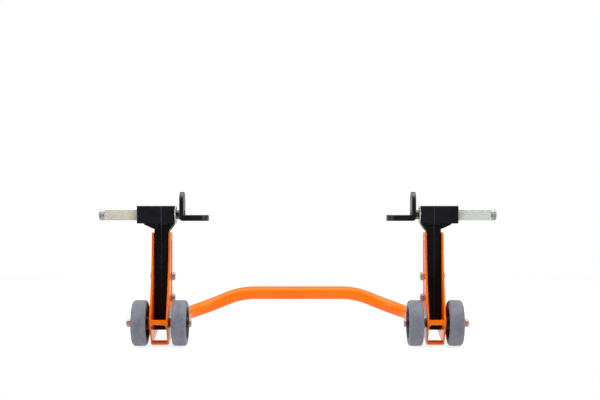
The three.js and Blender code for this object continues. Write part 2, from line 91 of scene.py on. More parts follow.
COLUMN_WALL = 2
HEAD_BORE = 20.7
FAIRINGS = {"outer": (32, 203), "inner": (-22, 199.5)}  # end under the head, and foot on the column
SEAM = {"width": 0.9, "proud": 0.28, "sunk": 0.2}  # the light line down the middle of column and head
BAR_WALL = 2
BAR_END_WALL = 6
CAP = {"dome": 3, "groove": (106.7, 107.5), "groove_depth": 0.8}
BOLT = 4  # radius of every M8 thread
PITCH = 1.25
THREAD = ((0.15, 1), (0.55, 0.88), (0.95, 1))  # one turn, as shares of the pitch and of the radius
HOLE = BOLT + GAP
KEY = 2.9  # radius of a hexagon socket's corners
BUTTON = {"radius": 7, "rim": 1.2, "brow": (0.9, 5.3), "crown": 3, "key": 2.6}  # head of a height bolt
PAST = 2  # how far a drill runs past what it cuts

SKIN = 1.3  # rubber over the outer faces of the saddle's steel
STEEL = {"thick": 4.7, "edge": 1.6}
SADDLE = {"upright": 7.6, "seat": 10.6, "bend": 6, "inside": 2, "edge": 1.5}

KNOB = {"lobes": 5, "lobe": 2.2, "collar": 8, "collar_depth": 3, "cover": 7.4, "cover_depth": 2}
TYRE_WALL = {"shoulder": 5, "groove": (2, 4.2), "groove_depth": 0.5, "edge": 0.6}
MOULD_LINE = {"half": 0.35, "proud": 0.2}
RIM = {"web": 4, "felloe": 11.5, "hub": 10, "hub_root": 13, "felloe_root": 23, "felloe_radius": 26}
RIBS = {"count": 6, "from": 9, "to": 24.5, "half": 1.1, "reach": 9.5}

TUBE = {"radius": 14, "wall": 2}
SQUEEZED = {"width": 25, "height": 30.6, "until": 108, "round_from": 140}
RAIL_START = Vector((UPRIGHT_X, 19, 57))
CORNER = Vector((UPRIGHT_X, 419, 14))
CREST = Vector((122.6, 419, 61.2))
CORNER_BEND = 85
CREST_BEND = 155

# ---- outlines


def arc_places(a, b, c, radius, steps):
    """The arc that rounds the corner at b between the lines to a and c."""
    to_a, to_c = (a - b).normalized(), (c - b).normalized()
    half = to_a.angle(to_c) / 2
    centre = b + (to_a + to_c).normalized() * radius / math.sin(half)
    reach = radius / math.tan(half)
    first, last = b + to_a * reach - centre, b + to_c * reach - centre
    sweep = math.pi - 2 * half
    places = []
    for k in range(steps + 1):
        turn = sweep * k / steps
        arm = first * math.sin(sweep - turn) + last * math.sin(turn)
        places.append(centre + arm / math.sin(sweep))
    return places


def rounded(corners, steps=6):
    """A closed outline through corners (a, b, radius), each turned by an arc of its radius."""
    points = []
    places = [Vector(corner[:2]) for corner in corners]
    for i, (a, b, radius) in enumerate(corners):
        if radius:
            points += arc_places(places[i - 1], places[i], places[(i + 1) % len(places)], radius, steps)
        else:
            points.append(Vector((a, b)))
    return points


def rectangle(a0, a1, b0, b1, radius=0.0, steps=6):
    return rounded([(a0, b0, radius), (a1, b0, radius), (a1, b1, radius), (a0, b1, radius)], steps)


def square(half, radius, b=0.0):
    return rectangle(-half, half, b - half, b + half, radius)


def angles(steps):
    """A full turn in equal steps."""
    return [2 * math.pi * k / steps for k in range(steps)]


def circle(radius, a=0.0, b=0.0, steps=40):
    return [Vector((a + radius * math.cos(t), b + radius * math.sin(t))) for t in angles(steps)]


def quadratic(start, control, end, steps=14):
    """Points of a quadratic curve after its start."""
    points = []
    for k in range(1, steps + 1):
        t = k / steps
        a, b, c = (1 - t) ** 2, 2 * t * (1 - t), t**2
        points.append(Vector([a * s + b * m + c * e for s, m, e in zip(start, control, end)]))
    return points


# ---- solids


def prism(outline, span, along, holes=(), bevel=0.5):
    """An outline with holes, thick from one place to another along an axis, its edges rounded."""
    curve = bpy.data.curves.new("outline", "CURVE")
    curve.dimensions = "2D"
    curve.fill_mode = "BOTH"
    curve.extrude = (span[1] - span[0]) / 2 - bevel
    curve.bevel_depth = bevel
    curve.bevel_resolution = 2
    curve.offset = -bevel
    for loop in (outline, *holes):
        spline = curve.splines.new("POLY")
        spline.points.add(len(loop) - 1)
        for point, (a, b) in zip(spline.points, loop):
            point.co = (a, b, 0, 1)
        spline.use_cyclic_u = True
    holder = bpy.data.objects.new("outline", curve)
    mesh = bpy.data.meshes.new_from_object(holder)
    bm = bmesh.new()
    bm.from_mesh(mesh)
    bpy.data.objects.remove(holder)
    bpy.data.curves.remove(curve)
    bpy.data.meshes.remove(mesh)
    bmesh.ops.remove_doubles(bm, verts=bm.verts, dist=1e-3)
    middle = sum(span) / 2
    for vertex in bm.verts:
        a, b, c = vertex.co
        c += middle
        vertex.co = {"x": (c, a, b), "y": (a, c, b), "z": (a, b, c)}[along]
    return bm


def skin(bm, first, second):
    """Faces between two rings of vertices, either of which may be a single point."""
    for k in range(max(len(first), len(second))):
        corners = [first[k % len(first)], first[(k + 1) % len(first)]]
        corners += [second[(k + 1) % len(second)], second[k % len(second)]]
        bm.faces.new(list(dict.fromkeys(corners)))


def loft(rings, closed=False):
    """A body through rings of places; its two ends are capped, or join each other when closed."""
    bm = bmesh.new()
    made = [[bm.verts.new(place) for place in places] for places in rings]
    for first, second in zip(made, made[1:]):
        skin(bm, first, second)
    if closed:
        skin(bm, made[-1], made[0])
    else:
        for end in (made[0], made[-1]):
            if len(end) > 2:
                bm.faces.new(end)
    return bm


def ring(x, radius, segments):
    """Places about the x axis, or the one place on it."""
    if not radius:
        return [(x, 0, 0)]
    return [(x, radius * math.cos(t), radius * math.sin(t)) for t in angles(segments)]


def lathe(profile, segments=64):
    """A profile of (x, radius) turned about the x axis, closed on itself or begun and ended on it."""
    return loft([ring(x, radius, segments) for x, radius in profile], closed=profile[0][1] > 0)


def soft_lathe(corners, steps, segments):
    """Corners (x, radius, rounding) turned about the x axis."""
    return lathe([tuple(point) for point in rounded(corners, steps)], segments)


def rod(radius, start, end, segments=32):
    return lathe([(start, 0), (start, radius), (end, radius), (end, 0)], segments)


def washer(inner, outer, span, edge=0.3, segments=64):
    """A flat ring about the x axis with turned-off edges."""
    start, end = span
    corners = [(start, inner, edge), (end, inner, edge), (end, outer, edge), (start, outer, edge)]
    return soft_lathe(corners, 3, segments)


def hexagon(across, span, hole=0.0):
    """A nut or a bolt's head about the x axis: a corner up, and the corners turned off by a cone."""
    start, end = span
    flat = across / 2
    segments = 96
    turns = angles(segments)
    reach = [flat / math.cos((t + math.pi / 6) % (math.pi / 3) - math.pi / 6) for t in turns]
    cone = 0.96 * flat
    drops = [(r - cone) * math.tan(math.radians(30)) for r in reach]
    low = [(start + d, r * math.cos(t), r * math.sin(t)) for t, r, d in zip(turns, reach, drops)]
    high = [(end - d, r * math.cos(t), r * math.sin(t)) for t, r, d in zip(turns, reach, drops)]
    rings = [ring(start, cone, segments), low, high, ring(end, cone, segments)]
    if hole:
        lead = 0.6  # chamfer of the hole
        rings = [ring(start + lead, hole, segments), ring(start, hole + lead, segments), *rings]
        rings += [ring(end, hole + lead, segments), ring(end - lead, hole, segments)]
        return loft(rings, closed=True)
    return loft([[(start, 0, 0)], *rings, [(end, 0, 0)]])


def threaded(start, end, radius=BOLT, plain_to=None):
    """Profile of a rod with a threaded length that ends in a small chamfer, from (start, radius)."""
    plain_to = start if plain_to is None else plain_to
    profile = [(start, radius)]
    if plain_to > start:
        profile.append((plain_to, radius))
    count = int((end - plain_to) / PITCH)
    for k in range(count):
        x = plain_to + k * PITCH
        profile += [(x + along * PITCH, deep * radius) for along, deep in THREAD]
    profile += [(end - 0.2, 0.86 * radius), (end, 0.78 * radius), (end, 0)]
    return profile


def moved(bm, x=0.0, y=0.0, z=0.0):
    for vertex in bm.verts:
        vertex.co += Vector((x, y, z))
    return bm


def across_flats(low, high):
    """Width over the flats of a hexagon that stands on a corner between two heights."""
    return (high.z - low.z) * math.cos(math.pi / 6)


def nut(node):
    """A nut that fills its node's box."""
    low, high = local_box(node)
    centre = middle_of(node)
    return [moved(hexagon(across_flats(low, high), (low.x, high.x), HOLE), y=centre.y, z=centre.z)]


def axle_ring(node, edge=0.4):
    """A ring on the axle that fills its node's box."""
    low, high = local_box(node)
    return [moved(washer(HOLE, (high.z - low.z) / 2, (low.x, high.x), edge), y=AXLE.y, z=AXLE.z)]


def along_y(bm, x, z):
    """Turns a body made about the x axis so that it stands about an axis along y."""
    for vertex in bm.verts:
        vertex.co = (vertex.co.y + x, vertex.co.x, vertex.co.z + z)
    return bm


def bead(places, radius, spacing=0.7):
    """A weld bead along a line of places: a rope of small overlapping ripples, thin at its ends."""
    ripple, unevenness, thin_end = 0.13, 0.06, 0.35
    turns = angles(10)
    rings = []
    for start, end in zip(places, places[1:]):
        start, end = Vector(start), Vector(end)
        count = max(2, round((end - start).length / spacing))
        line = (end - start).normalized()
        side = line.orthogonal().normalized()
        other = line.cross(side)
        for k in range(count + 1):
            swell = 1 + ripple * math.cos(math.pi * k) + random.uniform(-unevenness, unevenness)
            swell *= thin_end if k in (0, count) else 1
            centre = start.lerp(end, k / count)
            arms = [side * math.cos(t) + other * math.sin(t) for t in turns]
            rings.append([centre + arm * radius * swell for arm in arms])
    return loft(rings)


def scratch_object(bm):
    mesh = bpy.data.meshes.new("scratch")
    bmesh.ops.recalc_face_normals(bm, faces=bm.faces)
    bm.to_mesh(mesh)
    bm.free()
    made = bpy.data.objects.new("scratch", mesh)
    bpy.context.scene.collection.objects.link(made)
    return made


def boolean(base, tool, operation="DIFFERENCE"):
    """Cuts one closed body by another, or joins them; both are used up."""
    body, cutter = scratch_object(base), scratch_object(tool)
    modifier = body.modifiers.new("boolean", "BOOLEAN")
    modifier.operation = operation
    modifier.object = cutter
    modifier.solver = "EXACT"
    graph = bpy.context.evaluated_depsgraph_get()
    mesh = bpy.data.meshes.new_from_object(body.evaluated_get(graph))
    bm = bmesh.new()
    bm.from_mesh(mesh)
    for thing in (body, cutter):
        data = thing.data
        bpy.data.objects.remove(thing)
        bpy.data.meshes.remove(data)
    bpy.data.meshes.remove(mesh)
    return bm


def gathered(parts):
    """One bmesh with every part in it."""
    whole = bmesh.new()
    for part in parts:
        mesh = bpy.data.meshes.new("part")
        bmesh.ops.recalc_face_normals(part, faces=part.faces)
        part.to_mesh(mesh)
        part.free()
        whole.from_mesh(mesh)
        bpy.data.meshes.remove(mesh)
    return whole


# ---- materials


def srgb(red, green, blue):
    """A colour given in screen values from 0 to 255."""
    values = [c / 255 for c in (red, green, blue)]
    linear = [v / 12.92 if v <= 0.04045 else ((v + 0.055) / 1.055) ** 2.4 for v in values]
    return (*linear, 1)


class Finish:
    """A material and the nodes that vary its colour, roughness and relief over a surface."""

    def __init__(self, name, metallic=0.0, specular=0.5, coat=0.0, coat_roughness=0.1, sheen=0.0):
        self.material = bpy.data.materials.new(name)
        self.material.use_nodes = True
        self.tree = self.material.node_tree
        self.shader = self.tree.nodes["Principled BSDF"]
        constants = {
            "Metallic": metallic,
            "Specular IOR Level": specular,
            "Coat Weight": coat,
            "Coat Roughness": coat_roughness,
            "Sheen Weight": sheen,
        }
        for socket, value in constants.items():
            self.shader.inputs[socket].default_value = value
        self.place = self.add("ShaderNodeTexCoord").outputs["Object"]

    def add(self, kind, **settings):
        node = self.tree.nodes.new(kind)
        for key, value in settings.items():
            setattr(node, key, value)
        return node

    def give(self, socket, value):
        """Links a socket to another, or sets its value."""
        if isinstance(value, bpy.types.NodeSocket):
            self.tree.links.new(value, socket)
        else:
            socket.default_value = value

    def feed(self, node, **inputs):
        """Links or sets a node's inputs, named with _ for a space."""
        for name, value in inputs.items():
            self.give(node.inputs[name.replace("_", " ")], value)
        return node

    def noise(self, scale, detail=3, stretch=(1, 1, 1)):
        """Noise from 0 to 1; scale is in ripples per metre."""
        mapping = self.feed(self.add("ShaderNodeMapping"), Vector=self.place, Scale=stretch)
        source = self.add("ShaderNodeTexNoise")
        self.feed(source, Vector=mapping.outputs["Vector"], Scale=scale, Detail=detail)
        return source.outputs["Fac"]

    def ranged(self, value, low, high, to_low=0.0, to_high=1.0):
        node = self.add("ShaderNodeMapRange", interpolation_type="SMOOTHSTEP")
        self.feed(node, Value=value, From_Min=low, From_Max=high, To_Min=to_low, To_Max=to_high)
        return node.outputs["Result"]

    def combined(self, operation, first, second):
        node = self.add("ShaderNodeMath", operation=operation, use_clamp=True)
        for socket, value in zip(node.inputs, (first, second)):
            self.give(socket, value)
        return node.outputs[0]

    def edges(self, radius, low=0.02, high=0.3):
        """1 along worn edges and 0 on the flats; radius is in metres."""
        bevel = self.feed(self.add("ShaderNodeBevel", samples=6), Radius=radius)
        flat = self.add("ShaderNodeNewGeometry").outputs["Normal"]
        dot = self.add("ShaderNodeVectorMath", operation="DOT_PRODUCT")
        self.tree.links.new(bevel.outputs["Normal"], dot.inputs[0])
        self.tree.links.new(flat, dot.inputs[1])
        return self.ranged(dot.outputs["Value"], 1 - high, 1 - low, 1.0, 0.0)

    def mixed(self, factor, first, second):
        node = self.add("ShaderNodeMix", data_type="RGBA")
        for index, value in ((0, factor), (6, first), (7, second)):
            self.give(node.inputs[index], value)
        return node.outputs[2]

    def tinted(self, colour, other, mask, amount):
        """Mixes another colour in where the mask is 1, by at most amount."""
        return self.mixed(self.combined("MULTIPLY", mask, amount), colour, other)

    def worn(self, colour, other, amount, patches, *edge):
        """Mixes another colour in along edges, in patches."""
        return self.tinted(colour, other, self.combined("MULTIPLY", self.edges(*edge), patches), amount)

    def axis(self, name):
        """The place along one axis, in metres."""
        return self.feed(self.add("ShaderNodeSeparateXYZ"), Vector=self.place).outputs[name]

    def size_of(self, name):
        """The distance from the middle along one axis."""
        return self.combined("ABSOLUTE", self.axis(name), 0)

    def relief(self, *layers):
        """Stacks bump layers, each a height from 0 to 1 and its depth in metres."""
        normal = None
        for height, depth in layers:
            bump = self.feed(self.add("ShaderNodeBump"), Height=height, Distance=depth)
            if normal:
                self.tree.links.new(normal, bump.inputs["Normal"])
            normal = bump.outputs["Normal"]
        self.tree.links.new(normal, self.shader.inputs["Normal"])

    def surface(self, colour, roughness):
        self.tree.links.new(colour, self.shader.inputs["Base Color"])
        self.tree.links.new(roughness, self.shader.inputs["Roughness"])
        return self.material


def orange_paint():
    """Gloss powder coat: orange-peel relief, paler where it thins over edges, a few small scuffs."""
    finish = Finish("orange_paint", specular=0.14, coat=0.1, coat_roughness=0.08)
    cloud = finish.noise(14, 3)
    colour = finish.mixed(finish.ranged(cloud, 0.3, 0.7), ORANGE["deep"], ORANGE["core"])
    patches = finish.ranged(finish.noise(90, 4), 0.3, 0.6)
    colour = finish.worn(colour, ORANGE["pale"], 0.65, patches, 0.0009)
    scuffs = finish.ranged(finish.noise(170, 5, (1, 4, 1)), 0.66, 0.72)
    colour = finish.tinted(colour, ORANGE["scuff"], scuffs, 0.35)
    roughness = finish.ranged(finish.noise(35, 3), 0.3, 0.7, 0.17, 0.25)
    finish.relief((finish.noise(900, 2), 0.00006), (finish.noise(160, 2), 0.00008))
    return finish.surface(colour, roughness)


def black_paint(name, tones, paints_seam_highlight):
    """Satin black powder coat, greyer on edges; a pale line down the middle is a painted highlight along
    the seam's ridge, stronger higher up.
    """
    finish = Finish(name, specular=0.16)
    cloud = finish.noise(30, 3)
    colour = finish.mixed(finish.ranged(cloud, 0.3, 0.7), *tones)
    patches = finish.ranged(finish.noise(120, 4), 0.35, 0.65)
    colour = finish.worn(colour, BLACK["worn"], 0.5, patches, 0.0008)
    # Painted highlight: a pale line along the seam's ridge, fading out towards the bottom.
    if paints_seam_highlight:
        near = finish.add("ShaderNodeMath", operation="COMPARE")
        reach = SEAM["width"] / 2 * MM
        for socket, value in zip(near.inputs, (finish.size_of("X"), UPRIGHT_X * MM, reach)):
            finish.give(socket, value)
        line = finish.combined("MULTIPLY", near.outputs[0], finish.ranged(cloud, 0.2, 0.8, 0.6, 1.0))
        highlight_strength = finish.ranged(finish.axis("Z"), *SEAM_HIGHLIGHT_FADE, 0.25, 0.85)
        colour = finish.mixed(finish.combined("MULTIPLY", line, highlight_strength), colour, BLACK["seam"])
    roughness = finish.ranged(finish.noise(60, 3), 0.3, 0.7, 0.46, 0.58)
    finish.relief((finish.noise(1400, 2), 0.00005), (finish.noise(300, 2), 0.00005))
    return finish.surface(colour, roughness)


def zinc(name, tints, metallic, low_roughness, pale_end=False):
    """Zinc plate: brushed along its length, with faint tints of passivation, and paler on a bar's end."""
    finish = Finish(name, metallic=metallic, specular=0.5)
    patches = finish.noise(22, 3, (0.6, 1, 1))
    colour = finish.mixed(finish.ranged(patches, 0.35, 0.5), tints[0], tints[1])
    colour = finish.mixed(finish.ranged(patches, 0.52, 0.66), colour, tints[2])
    lines = finish.noise(1500, 3, (0.04, 1, 1))
    colour = finish.tinted(colour, tints[3], finish.ranged(lines, 0.35, 0.7), 0.1)
    colour = finish.tinted(colour, GRIME, finish.ranged(finish.noise(260, 5), 0.66, 0.78), 0.08)
    if pale_end:
        colour = finish.tinted(colour, tints[3], finish.ranged(finish.size_of("X"), *PALE_END), 0.7)
    roughness = finish.ranged(lines, 0.2, 0.8, low_roughness, low_roughness + 0.1)
    finish.relief((lines, 0.000002), (finish.noise(380, 3), 0.000003))
    return finish.surface(colour, roughness)


def black_rubber():
    """Moulded rubber: fine grain, dusty grey where it is rubbed, and a soft sheen."""
    finish = Finish("black_rubber", specular=0.5, sheen=0.02)
    cloud = finish.noise(45, 4)
    colour = finish.mixed(finish.ranged(cloud, 0.35, 0.7), RUBBER["deep"], RUBBER["core"])
    patches = finish.ranged(cloud, 0.2, 0.6)
    colour = finish.worn(colour, RUBBER["rubbed"], 0.55, patches, 0.0018, 0.01, 0.25)
    roughness = finish.ranged(finish.noise(80, 4), 0.3, 0.7, 0.27, 0.38)
    finish.relief((finish.noise(1100, 3), 0.00012), (finish.noise(150, 2), 0.0001))
    return finish.surface(colour, roughness)


def grey_tyre():
    """Non-marking grey rubber with moulding streaks and the dust of a garage floor."""
    finish = Finish("grey_tyre", specular=0.3, sheen=0.05)
    cloud = finish.noise(70, 4)
    colour = finish.mixed(finish.ranged(cloud, 0.3, 0.7), TYRE["deep"], TYRE["core"])
    dust = finish.ranged(finish.noise(240, 5, (0.5, 1, 1)), 0.5, 0.75)
    colour = finish.tinted(colour, TYRE["dust"], dust, 0.3)
    roughness = finish.ranged(finish.noise(120, 3), 0.3, 0.7, 0.55, 0.75)
    finish.relief((finish.noise(900, 3), 0.00015), (finish.noise(120, 2), 0.00015))
    return finish.surface(colour, roughness)


def black_plastic():
    """Moulded black plastic with a fine spark texture, greyer on its edges."""
    finish = Finish("black_plastic", specular=0.35)
    cloud = finish.noise(50, 3)
    colour = finish.mixed(finish.ranged(cloud, 0.35, 0.7), PLASTIC["deep"], PLASTIC["core"])
    patches = finish.ranged(cloud, 0.3, 0.6)
    colour = finish.worn(colour, PLASTIC["worn"], 0.5, patches, 0.0008)
    roughness = finish.ranged(finish.noise(100, 3), 0.3, 0.7, 0.4, 0.55)
    finish.relief((finish.noise(1800, 3), 0.00008))
    return finish.surface(colour, roughness)


SEAM_HIGHLIGHT_FADE = (0.19, 0.213)  # heights between which the painted seam highlight gets stronger, in metres
PALE_END = (0.336, 0.339)  # where a bar gets paler, in metres from the stand's middle
ORANGE = {
    "deep": srgb(240, 105, 5),
    "core": srgb(249, 114, 7),
    "pale": srgb(255, 166, 92),
    "scuff": srgb(226, 96, 20),
}
BLACK = {
    # Head and column are one paint: the head's lighter tones are painted light, and the column's darker
    # tones are painted shade from the frame's channel around it. The saddle's steel takes the column's
    # dark tones.
    "head": [srgb(22, 22, 26), srgb(29, 29, 35)],
    "column": [srgb(8, 8, 10), srgb(14, 14, 17)],
    "worn": srgb(62, 62, 68),
    # seam: colour of the painted highlight along the seam's ridge
    "seam": srgb(96, 96, 102),
}
GRIME = srgb(120, 116, 104)
BAR_TINTS = {
    "left": [srgb(232, 227, 205), srgb(223, 214, 211), srgb(234, 229, 208), srgb(246, 244, 236)],
    "right": [srgb(232, 237, 229), srgb(226, 233, 228), srgb(235, 237, 227), srgb(246, 248, 244)],
}
BOLT_TINTS = [srgb(196, 196, 190), srgb(186, 188, 190), srgb(204, 202, 190), srgb(226, 226, 222)]
AXLE_TINTS = [srgb(214, 176, 158), srgb(196, 158, 144), srgb(222, 190, 170), srgb(240, 220, 208)]
CAP_TINTS = [srgb(178, 179, 174), srgb(168, 169, 167), srgb(183, 183, 177), srgb(200, 200, 196)]
NUT_TINTS = [srgb(112, 112, 98), srgb(98, 98, 88), srgb(126, 124, 106), srgb(150, 150, 136)]
RUBBER = {"deep": srgb(21, 20, 22), "core": srgb(29, 28, 31), "rubbed": srgb(64, 64, 68)}
TYRE = {"deep": srgb(108, 110, 122), "core": srgb(120, 122, 133), "dust": srgb(144, 144, 147)}
PLASTIC = {"deep": srgb(14, 13, 15), "core": srgb(22, 21, 24), "worn": srgb(70, 70, 76)}

PAINT = orange_paint()
COATED = black_paint("black_paint_saddle", BLACK["column"], paints_seam_highlight=False)
# One black paint in two tones: painted shade on the column, painted light on the head.
SHADED_COLUMN_PAINT = black_paint("black_paint_column_shaded", BLACK["column"], paints_seam_highlight=True)
LIT_HEAD_PAINT = black_paint("black_paint_head_lit", BLACK["head"], paints_seam_highlight=True)
BAR_ZINC = {side: zinc("zinc_bar_" + side, BAR_TINTS[side], 0.08, 0.34, pale_end=True) for side in SIDES}
BOLT_ZINC = zinc("zinc_fasteners", BOLT_TINTS, 0.45, 0.3)
DISC_ZINC = zinc("zinc_disc", BAR_TINTS["right"], 0.08, 0.34)
CAP_ZINC = zinc("zinc_cap", CAP_TINTS, 0.22, 0.42)
NUT_ZINC = zinc("zinc_swivel_nut", NUT_TINTS, 0.3, 0.3)
AXLE_ZINC = zinc("zinc_axle", AXLE_TINTS, 0.45, 0.3)
SOFT_BLACK = black_rubber()
GREY = grey_tyre()
MOULDED = black_plastic()

# ---- the pieces

BODY_OF = {node: body for body, nodes in frame["record"]["behaviour"]["bodies"].items() for node in nodes}
SMOOTH_UNDER = math.radians(38)


def show(node, parts, material, side=0):
    """Puts a finished piece in a CAD node's place. side is -1 or 1 for an upright, 0 for the middle."""
    bm = gathered(parts)
    for vertex in bm.verts:
        x, y, z = vertex.co
        across = side * (UPRIGHT_X + x) if side else x
        vertex.co = Vector((across, y + COLUMN_Y, z)) * MM
    if side < 0:
        bmesh.ops.reverse_faces(bm, faces=bm.faces)
    mesh = bpy.data.meshes.new("fine_" + node)
    bm.to_mesh(mesh)
    bm.free()
    mesh.polygons.foreach_set("use_smooth", [True] * len(mesh.polygons))
    mesh.set_sharp_from_angle(angle=SMOOTH_UNDER)
    mesh.materials.append(material)
    piece = bpy.data.objects.new("fine_" + node, mesh)
    bpy.context.scene.collection.objects.link(piece)
    even = piece.modifiers.new("even shading", "WEIGHTED_NORMAL")
    even.keep_sharp = True
    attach(piece, BODY_OF[node])
    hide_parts(node)


# Side frame


def side_plate_outline():
    low, high = local_box("side_frame")
    toe, tail, top, rear = low.y, high.y, high.z, WEB["rear"]
    sole_y = tail - (TAIL["low"] - low.z) / SOLE_SLOPE
    outline = [Vector((sole_y, low.z)), Vector((tail, TAIL["low"])), Vector((tail, TAIL["high"]))]
    shoulder = (rear + TAIL["round"], TAIL["shoulder"] - 1)
    outline.append(Vector(shoulder))
    outline += quadratic(shoulder, (rear, TAIL["shoulder"]), (rear, TAIL["shoulder"] + TAIL["round"]), 8)
    below, turn = top - CROWN["below"], CROWN["round"]
    crown = [(FRONT_EDGE, below, 0), (rear, below, 0), (rear, top, turn), (FRONT_EDGE, top, turn)]
    outline += rounded(crown)[2:]
    bow = (FRONT_EDGE, (top + CROSSPIECE["high"]) / 2)
    outline += quadratic((FRONT_EDGE, top - turn), bow, (toe, CROSSPIECE["high"]))
    outline.append(Vector((toe, CROSSPIECE["low"])))
    return outline


def slot_outline():
    """The long hole that the height bolts travel in."""
    lower, upper = middle_of("height_bolt_lower").z, middle_of("height_bolt_upper").z + LIFT
    points = circle(SLOT_RADIUS, 0, lower, 32)
    return [Vector((a, b if b <= lower else b + upper - lower)) for a, b in points]


def crosspiece_outline():
    """The band over the window at the front, with round window corners."""
    low, high, corner = CROSSPIECE["low"], CROSSPIECE["high"], CROSSPIECE["corner"]
    inner = PLATE_INNER
    edge = inner + 0.5
    shape = [(-edge, high, 0), (-edge, low - corner, 0), (-inner, low - corner, 0), (-inner, low, corner)]
    shape += [(inner, low, corner), (inner, low - corner, 0), (edge, low - corner, 0), (edge, high, 0)]
    return rounded(shape, 8)


def sole_outline():
    low, high = local_box("side_frame")
    start = high.y - (TAIL["low"] - low.z) / SOLE_SLOPE
    end = start + SOLE_LENGTH
    end_z = low.z + SOLE_LENGTH * SOLE_SLOPE
    thick = PLATE * math.hypot(1, SOLE_SLOPE)
    corners = [(start, low.z), (end, end_z), (end, end_z + thick), (start, low.z + thick)]
    return [Vector(corner) for corner in corners]


def soften_sole_corners(bm, low):
    """Rounds the outer lower corners, where the sheet is folded from sole to side."""
    for vertex in bm.verts:
        height = low + PLATE - vertex.co.z
        across = abs(vertex.co.x) - PLATE_INNER
        reach = math.hypot(across, height)
        if across > 0 and height > 0 and reach > PLATE:
            vertex.co.x = math.copysign(PLATE_INNER + across * PLATE / reach, vertex.co.x)
            vertex.co.z = low + PLATE - height * PLATE / reach


def side_frame():
    low, high = local_box("side_frame")
    holes = [slot_outline(), circle(HOLE, AXLE.y, AXLE.z, 32)]
    bite = PLATE_INNER + 0.6
    rear = WEB["rear"] - PLATE
    web = rectangle(-bite, bite, WEB["low"], high.z - WEB["below_top"])
    parts = [
        prism(side_plate_outline(), (-PLATE_OUTER, -PLATE_INNER), "x", holes, 0.6),
        prism(side_plate_outline(), (PLATE_INNER, PLATE_OUTER), "x", holes, 0.6),
        prism(web, (rear, WEB["rear"] - 0.05), "y"),
        prism(sole_outline(), (-bite, bite), "x"),
        prism(crosspiece_outline(), (low.y, low.y + PLATE), "y", bevel=0.6),
    ]
    for part in parts[:2] + parts[3:4]:
        soften_sole_corners(part, low.z)
    for side in (-1, 1):
        inside = side * (PLATE_INNER - 0.2)
        parts.append(bead([(inside, rear, WEB["low"] + 4), (inside, rear, high.z - 6)], 1.0))
        front = low.y + PLATE
        ends = (CROSSPIECE["low"], CROSSPIECE["high"] - 1)
        parts.append(bead([(inside, front, z) for z in ends], 1.2))
        edge = side * (PLATE_INNER + 0.6)
        tail = high.y - 0.9
        parts.append(bead([(edge, tail, TAIL["low"] + 3), (edge, tail, TAIL["high"] - 3)], 1.5))
    return parts


# Column and head


def seam(span, front):
    """A thin raised line down the middle of a front face."""
    half = SEAM["width"] / 2
    root, ridge = front + SEAM["sunk"], front - SEAM["proud"]
    corners = [(-half, root, 0), (-half * 0.6, ridge, 0), (half * 0.6, ridge, 0), (half, root, 0)]
    return prism(rounded(corners), span, "z", bevel=0.05)


def column():
    low, high = local_box("column")
    half = high.x
    bore = half - COLUMN_WALL
    tube = prism(square(half, 2.5), (low.z, high.z), "z", [square(bore, 1.2)], 0.3)
    for place in ("lower", "upper"):
        drill = rod(HOLE, -half - PAST, half + PAST)
        tube = boolean(tube, moved(drill, z=middle_of("height_bolt_" + place).z))
    return [tube, seam((low.z + 1, high.z), -half)]


def head():
    low, high = local_box("head")
    body_low = 2 * BAR_Z - high.z
    depth = high.y
    bore = HEAD_BORE / 2
    outline = rectangle(-depth, depth, body_low, high.z, 2.2)
    block = prism(outline, (low.x, high.x), "x", [square(bore, 1, BAR_Z)], 0.7)
    drill = along_y(rod(HOLE, bore - PAST, depth + PAST), middle_of("clamp_screw").x, BAR_Z)
    half = local_box("column")[1].x + GAP
    web = local_box("column")[1].y
    outer_end, outer_foot = FAIRINGS["outer"]
    inner_end, inner_foot = FAIRINGS["inner"]
    joint = body_low + 0.6
    outer = [(half, joint, 0), (half, outer_foot, 0), (outer_end, body_low, 0), (outer_end, joint, 0)]
    inner = [(-half, joint, 0), (inner_end, joint, 0), (inner_end, body_low, 0), (-half, inner_foot, 0)]
    parts = [
        boolean(block, drill),
        prism(rounded(outer), (-web, web), "y", bevel=0.25),
        prism(rounded(inner), (-web, web), "y", bevel=0.25),
        seam((body_low + 0.6, high.z - 0.6), -depth),
    ]
    for y in (-web - 0.4, web + 0.4):
        parts.append(bead([(-half + 1, y, body_low - 0.6), (half - 1, y, body_low - 0.6)], 1.5))
        parts.append(bead([(half + 1, y, outer_foot + 1), (outer_end - 2, y, body_low - 0.8)], 0.9))
        parts.append(bead([(-half - 0.6, y, inner_foot + 2), (inner_end + 1, y, body_low - 0.8)], 0.9))
    return parts


# Slide bar and its end


def slide_bar():
    low, high = local_box("slide_bar")
    half = (high.z - low.z) / 2
    bore = half - BAR_WALL
    tube = prism(square(half, 2.2, BAR_Z), (low.x, high.x), "x", [square(bore, 1, BAR_Z)], 0.35)
    wall = square(bore + 0.3, 1, BAR_Z)
    end = prism(wall, (low.x + 0.3, low.x + BAR_END_WALL), "x", [circle(HOLE, 0, BAR_Z)], 0.2)
    return [tube, end]


